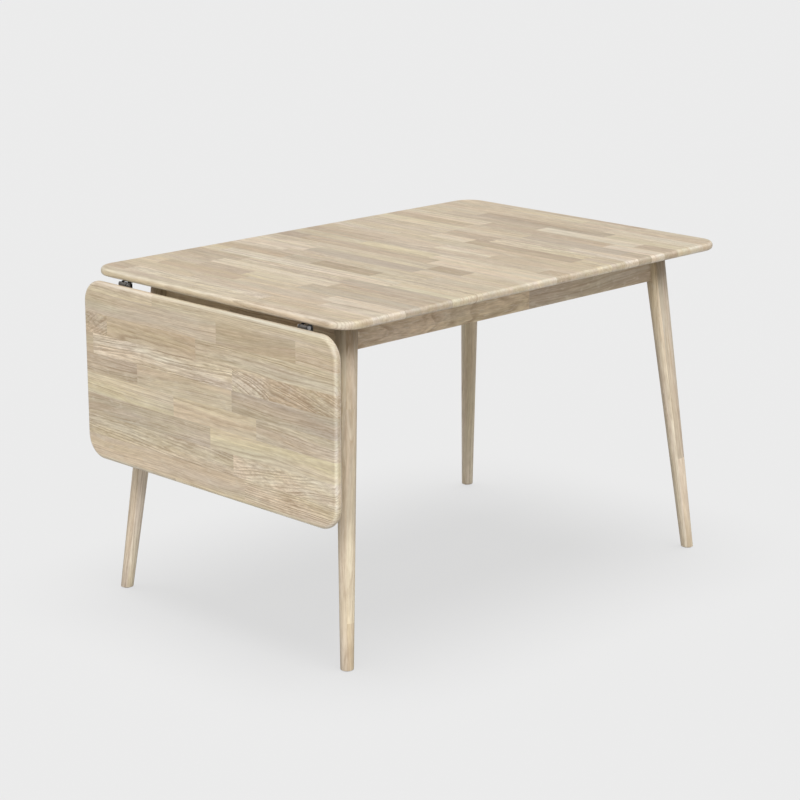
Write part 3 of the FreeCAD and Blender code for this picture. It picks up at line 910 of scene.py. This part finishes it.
class TABLE_OT_leaf(bpy.types.Operator):
    """Glue up the hanging leaf"""

    bl_idname = "table.leaf"
    bl_label = "Drop leaf"

    def execute(self, context):
        settings = settings_of(context)
        boards = settings.boards
        ways = (-Y_AXIS, -Z_AXIS, X_AXIS)
        stave_board(
            "oak_leaf", "drop_leaf", "leaf", LEAF_ROWS,
            boards.leaf_first_row, boards.leaf_corner, ways, settings, LEAF_PALENESS,
        )
        return {"FINISHED"}


class TABLE_OT_rails(bpy.types.Operator):
    """Fit the four rails between the legs"""

    bl_idname = "table.rails"
    bl_label = "Rails"

    def execute(self, context):
        settings = settings_of(context)
        for place, words in RAIL_STAVES.items():
            node = "apron_" + place
            low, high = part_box(node)
            span = high - low
            lengthwise = span.x > span.y
            along, out = (X_AXIS, -Y_AXIS) if lengthwise else (-Y_AXIS, -X_AXIS)
            if place in ("back", "far_end"):
                along, out = -along, -out
            size = Vector((max(span.x, span.y), span.z, min(span.x, span.y)))
            mesh = rounded_block(size, 0, settings.frame.rail_round, RAIL_EDGE_STEPS)
            dice = random.Random(node)
            staves = [row_staves(words, dice)]
            glue_up(mesh, staves, [], Y_AXIS, -size.x / 2, washed=RAIL_PALENESS)
            smooth_rounds(mesh, [X_AXIS, Y_AXIS, Z_AXIS])
            matrix = axes(along, out.cross(along), out, (low + high) / 2)
            bmesh.ops.transform(mesh, matrix=matrix, verts=mesh.verts)
            oak_piece("oak_rail_" + place, mesh, "table", node, settings)
        return {"FINISHED"}


class TABLE_OT_legs(bpy.types.Operator):
    """Turn the four tapered legs"""

    bl_idname = "table.legs"
    bl_label = "Legs"

    def execute(self, context):
        settings = settings_of(context)
        for corner in CORNERS:
            turn_leg(corner, settings)
        return {"FINISHED"}


def turn_leg(corner, settings):
    """A tapered round of two glued plies, turned too long and cut level at the top and the foot."""
    node = "leg_" + corner
    sizes = settings.frame
    top_low, top_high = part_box("table_top")
    low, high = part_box(node)
    side_x = 1 if "left" in corner else -1
    side_y = 1 if "front" in corner else -1
    edge_x = top_low.x if side_x > 0 else top_high.x
    edge_y = top_low.y if side_y > 0 else top_high.y
    under_corner = Vector((edge_x, edge_y, 0))
    inward = Vector((side_x, side_y, 0))
    foot = under_corner + inward * sizes.foot_inset
    head = under_corner + inward * sizes.top_inset + Vector((0, 0, high.z))
    axis = (head - foot).normalized()
    run_past = sizes.leg_top
    slope = (sizes.leg_top - sizes.leg_foot) / 2 / high.z
    length = (head - foot).length + 2 * run_past
    mesh = bmesh.new()
    bmesh.ops.create_cone(
        mesh, cap_ends=True, segments=LEG_SIDES, depth=length,
        radius1=sizes.leg_foot / 2 - slope * run_past, radius2=sizes.leg_top / 2 + slope * run_past,
    )
    bmesh.ops.rotate(mesh, matrix=Matrix.Rotation(math.radians(90), 3, "Y"), verts=mesh.verts)
    to_world = leg_axes(axis, (foot + head) / 2, corner)
    to_leg = to_world.inverted()
    for level, way in ((low.z, -1), (high.z, 1)):
        place = to_leg @ Vector((foot.x, foot.y, level))
        across = to_leg.to_3x3() @ Vector((0, 0, way))
        cut(mesh, everything(mesh), place, across, clear=True)
        rim = [edge for edge in mesh.edges if edge.is_boundary]
        faces = bmesh.ops.contextual_create(mesh, geom=rim)["faces"]
        if way < 0:
            rim = [edge for face in faces for edge in face.edges]
            rounded(mesh, rim, sizes.foot_chamfer, FOOT_STEPS)
    dice = random.Random(node)
    rows = [row_staves(words, dice) for words in LEG_STAVES[corner]]
    foot_x = (to_leg @ foot).x
    glue_up(mesh, rows, [0.0], Z_AXIS, foot_x, washed=LEG_PALENESS)
    bmesh.ops.recalc_face_normals(mesh, faces=mesh.faces)
    bmesh.ops.transform(mesh, matrix=to_world, verts=mesh.verts)
    smooth_rounds(mesh, [Z_AXIS])
    oak_piece("oak_leg_" + corner, mesh, "table", node, settings)


def leg_axes(axis, middle, corner):
    """A leg's own directions: x up the leg, and z across its glue line.

    The front left leg stands a quarter turn from the others.
    """
    level = Z_AXIS.cross(axis).normalized()
    if corner == "front_left":
        return axes(axis, level.cross(axis), level, middle)
    return axes(axis, level, axis.cross(level), middle)


class TABLE_OT_corner_blocks(bpy.types.Operator):
    """Finish the corner blocks behind the legs"""

    bl_idname = "table.corner_blocks"
    bl_label = "Corner blocks"

    def execute(self, context):
        settings = settings_of(context)
        for corner in CORNERS:
            same_way = corner in ("front_left", "back_right")
            turn = math.radians(45 if same_way else -45)
            name = "block_wood_" + ("one_way" if same_way else "other_way")
            repaint("corner_block_" + corner, material(name, block_wood, turn, settings.oak))
        return {"FINISHED"}


def repaint(node, paint):
    """Give a carried-over CAD node its finish."""
    data = frame["nodes"][node].data
    data.materials.clear()
    data.materials.append(paint)


class TABLE_OT_hinges(bpy.types.Operator):
    """Finish the two folding hinges and their screws"""

    bl_idname = "table.hinges"
    bl_label = "Hinges"

    def execute(self, context):
        hardware = settings_of(context).hardware
        coat = material("black_coat", powder_coat, hardware.black)
        steel = plating("drawn_steel", hardware)
        dark = plating("black_zinc", hardware)
        grey = plating("grey_plating", hardware)
        for side in SIDES:
            # Brackets and levers get the black coat, partly painted shade under the top's nose; the arms are
            # plated grey.
            repaint("hinge_bracket_" + side, coat)
            repaint("catch_lever_" + side, coat)
            repaint("hinge_arm_" + side, grey)
            repaint("hinge_pin_" + side, steel)
            repaint("catch_pin_" + side, steel)
        for name in ("hinge_table_screws", "hinge_leaf_screws"):
            repaint(name, dark)
        return {"FINISHED"}


class TABLE_OT_springs(bpy.types.Operator):
    """Wind the two catch springs"""

    bl_idname = "table.springs"
    bl_label = "Catch springs"

    def execute(self, context):
        hardware = settings_of(context).hardware
        for side in SIDES:
            wind_spring(side, hardware)
        return {"FINISHED"}


def wind_spring(side, hardware):
    """A coil along X, held by the arm at one end and the lever at the other."""
    node = "catch_spring_" + side
    low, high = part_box(node)
    middle = (low + high) / 2
    wire = hardware.wire / 2
    radius = (high.y - low.y) / 2 - wire
    length = high.x - low.x - 2 * wire
    mesh = bmesh.new()
    start = Vector((low.x + wire, middle.y, middle.z))
    place = Matrix.Translation(start + Vector((0, radius, 0)))
    bmesh.ops.create_circle(mesh, segments=WIRE_SIDES, radius=wire, matrix=place)
    steps = TURN_STEPS * hardware.spring_turns
    bmesh.ops.spin(
        mesh, geom=mesh.verts[:] + mesh.edges[:], cent=start, axis=(1, 0, 0), steps=steps,
        dvec=(length / steps, 0, 0), angle=2 * math.pi * hardware.spring_turns, use_merge=False,
    )
    bmesh.ops.holes_fill(mesh, edges=mesh.edges, sides=WIRE_SIDES)
    bmesh.ops.recalc_face_normals(mesh, faces=mesh.faces)
    for face in mesh.faces:
        face.smooth = len(face.verts) == 4
    piece = meshed("coil_" + side, mesh, plating("drawn_steel", hardware))
    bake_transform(piece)
    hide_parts(node)


class TABLE_OT_fasteners(bpy.types.Operator):
    """Finish the bolts, nuts, screws and angle brackets of the frame"""

    bl_idname = "table.fasteners"
    bl_label = "Fasteners"

    def execute(self, context):
        zinc = plating("bright_zinc", settings_of(context).hardware)
        for name in (
            "hanger_bolts", "bolt_washers", "bolt_nuts",
            "block_screws", "angle_brackets", "angle_screws",
        ):
            repaint(name, zinc)
        return {"FINISHED"}


class TABLE_OT_glides(bpy.types.Operator):
    """Finish the nylon glides under the feet"""

    bl_idname = "table.glides"
    bl_label = "Glides"

    def execute(self, context):
        nylon = material("moulded_nylon", moulded, settings_of(context).hardware.nylon)
        for corner in CORNERS:
            repaint("glide_" + corner, nylon)
        return {"FINISHED"}


class TABLE_OT_studio(bpy.types.Operator):
    """Set the pale floor, the soft light and the camera"""

    bl_idname = "table.studio"
    bl_label = "Studio"

    def execute(self, context):
        studio = settings_of(context).studio
        lay_floor(studio)
        light_dome(studio)
        hang_lamps(studio)
        stand_camera(studio)
        context.scene.view_settings.view_transform = "Standard"
        return {"FINISHED"}


def lay_floor(studio):
    """A floor that reaches past every view."""
    mesh = bmesh.new()
    bmesh.ops.create_grid(mesh, x_segments=1, y_segments=1, size=FLOOR_SIZE / 2)
    floor = meshed("floor", mesh, material("pale_floor", floor_paint, studio))


def floor_paint(paint, studio):
    """Matt pale floor. The camera sees its shadow softened."""
    seen = paint.value(paint.node("ShaderNodeLightPath"), "Is Camera Ray")
    # The light on open floor: the ceiling's counts twice the walls', and the lamp's comes on top.
    lit = (studio.walls + 2 * studio.ceiling) / 3 + studio.overhead / math.pi
    dim = solid([studio.bounce / lit] * 3)
    pale = solid([part / lit for part in studio.pale])
    matt = paint.node("ShaderNodeBsdfDiffuse", None, {"Color": paint.mixed(seen, dim, pale)})
    glow = paint.node("ShaderNodeEmission", None, {"Color": solid(studio.pale), "Strength": 1.0})
    share = seen * (1 - studio.shadow)
    both = paint.node("ShaderNodeMixShader", None, {0: share, 1: paint.value(matt), 2: paint.value(glow)})
    paint.show(paint.value(both))
    return paint.owner


def light_dome(studio):
    """Walls and a ceiling of light, and the pale ground that is seen behind the table."""
    world = bpy.data.worlds.new("studio")
    paint = Paint(world)
    rays = paint.node("ShaderNodeLightPath")
    seen = paint.value(rays, "Is Camera Ray") + paint.value(rays, "Is Glossy Ray")
    seen = (seen + paint.value(rays, "Is Transmission Ray")).ramp(0, 1)
    height = paint.parts(paint.value(paint.node("ShaderNodeTexCoord"), "Generated"))[2]
    shade = paint.mixed(height, solid([studio.walls] * 3), solid([studio.ceiling] * 3))
    light = paint.node("ShaderNodeBackground", None, {"Color": shade, "Strength": 1.0})
    ground = paint.node("ShaderNodeBackground", None, {"Color": solid(studio.pale), "Strength": 1.0})
    both = paint.node("ShaderNodeMixShader", None, {0: seen, 1: paint.value(light), 2: paint.value(ground)})
    paint.show(paint.value(both))
    bpy.context.scene.world = world


def hang_lamps(studio):
    """A soft lamp on the camera's side that spares the floor, and a wide one overhead for it alone."""
    key = hang_lamp("key", studio.key, studio.key_spread, studio.key_turn, studio.key_height)
    straight_up = math.radians(90)
    overhead = hang_lamp("overhead", studio.overhead, studio.overhead_spread, studio.turn, straight_up)
    for lamp, state in ((key, "EXCLUDE"), (overhead, "INCLUDE")):
        lit = bpy.data.collections.new("lit_by_" + lamp.name)
        lit.objects.link(bpy.data.objects["floor"])
        lit.collection_objects[0].light_linking.link_state = state
        lamp.light_linking.receiver_collection = lit


def hang_lamp(name, strength, spread, turn, height):
    """A lamp so far off that only its direction counts, and as wide as its spread."""
    lamp = bpy.data.lights.new(name, "SUN")
    lamp.energy = strength
    lamp.angle = spread
    piece = linked(name, lamp)
    level = math.cos(height)
    towards = Vector((math.sin(turn) * level, -math.cos(turn) * level, math.sin(height)))
    piece.rotation_euler = towards.to_track_quat("Z", "Y").to_euler()
    piece.location = towards * LAMP_DISTANCE
    return piece


def stand_camera(studio):
    """The camera at its place, level from side to side."""
    camera = linked("camera", bpy.data.cameras.new("camera"))
    camera.data.lens = studio.lens
    camera.location = studio.camera_place
    camera.rotation_euler = (math.radians(90) - studio.tilt, 0, studio.turn)
    bpy.context.scene.camera = camera


OPERATORS = (
    TABLE_OT_top,
    TABLE_OT_leaf,
    TABLE_OT_rails,
    TABLE_OT_legs,
    TABLE_OT_corner_blocks,
    TABLE_OT_hinges,
    TABLE_OT_springs,
    TABLE_OT_fasteners,
    TABLE_OT_glides,
    TABLE_OT_studio,
)


class TABLE_PT_panel(bpy.types.Panel):
    """Lists the table's pieces"""

    bl_idname = "TABLE_PT_panel"
    bl_label = "Drop-leaf table"
    bl_space_type = "VIEW_3D"
    bl_region_type = "UI"
    bl_category = "Table"

    def draw(self, context):
        for operator in OPERATORS:
            self.layout.operator(operator.bl_idname)


CLASSES = (
    BoardSettings,
    FrameSettings,
    OakSettings,
    HardwareSettings,
    StudioSettings,
    TableSettings,
    *OPERATORS,
    TABLE_PT_panel,
)


def register():
    for kind in CLASSES:
        bpy.utils.register_class(kind)
    bpy.types.Scene.drop_leaf_table = PointerProperty(type=TableSettings)


def unregister():
    del bpy.types.Scene.drop_leaf_table
    for kind in reversed(CLASSES):
        bpy.utils.unregister_class(kind)


def main():
    register()
    for operator in OPERATORS:
        group, name = operator.bl_idname.split(".")
        getattr(getattr(bpy.ops, group), name)()


if __name__ == "__main__":
    main()
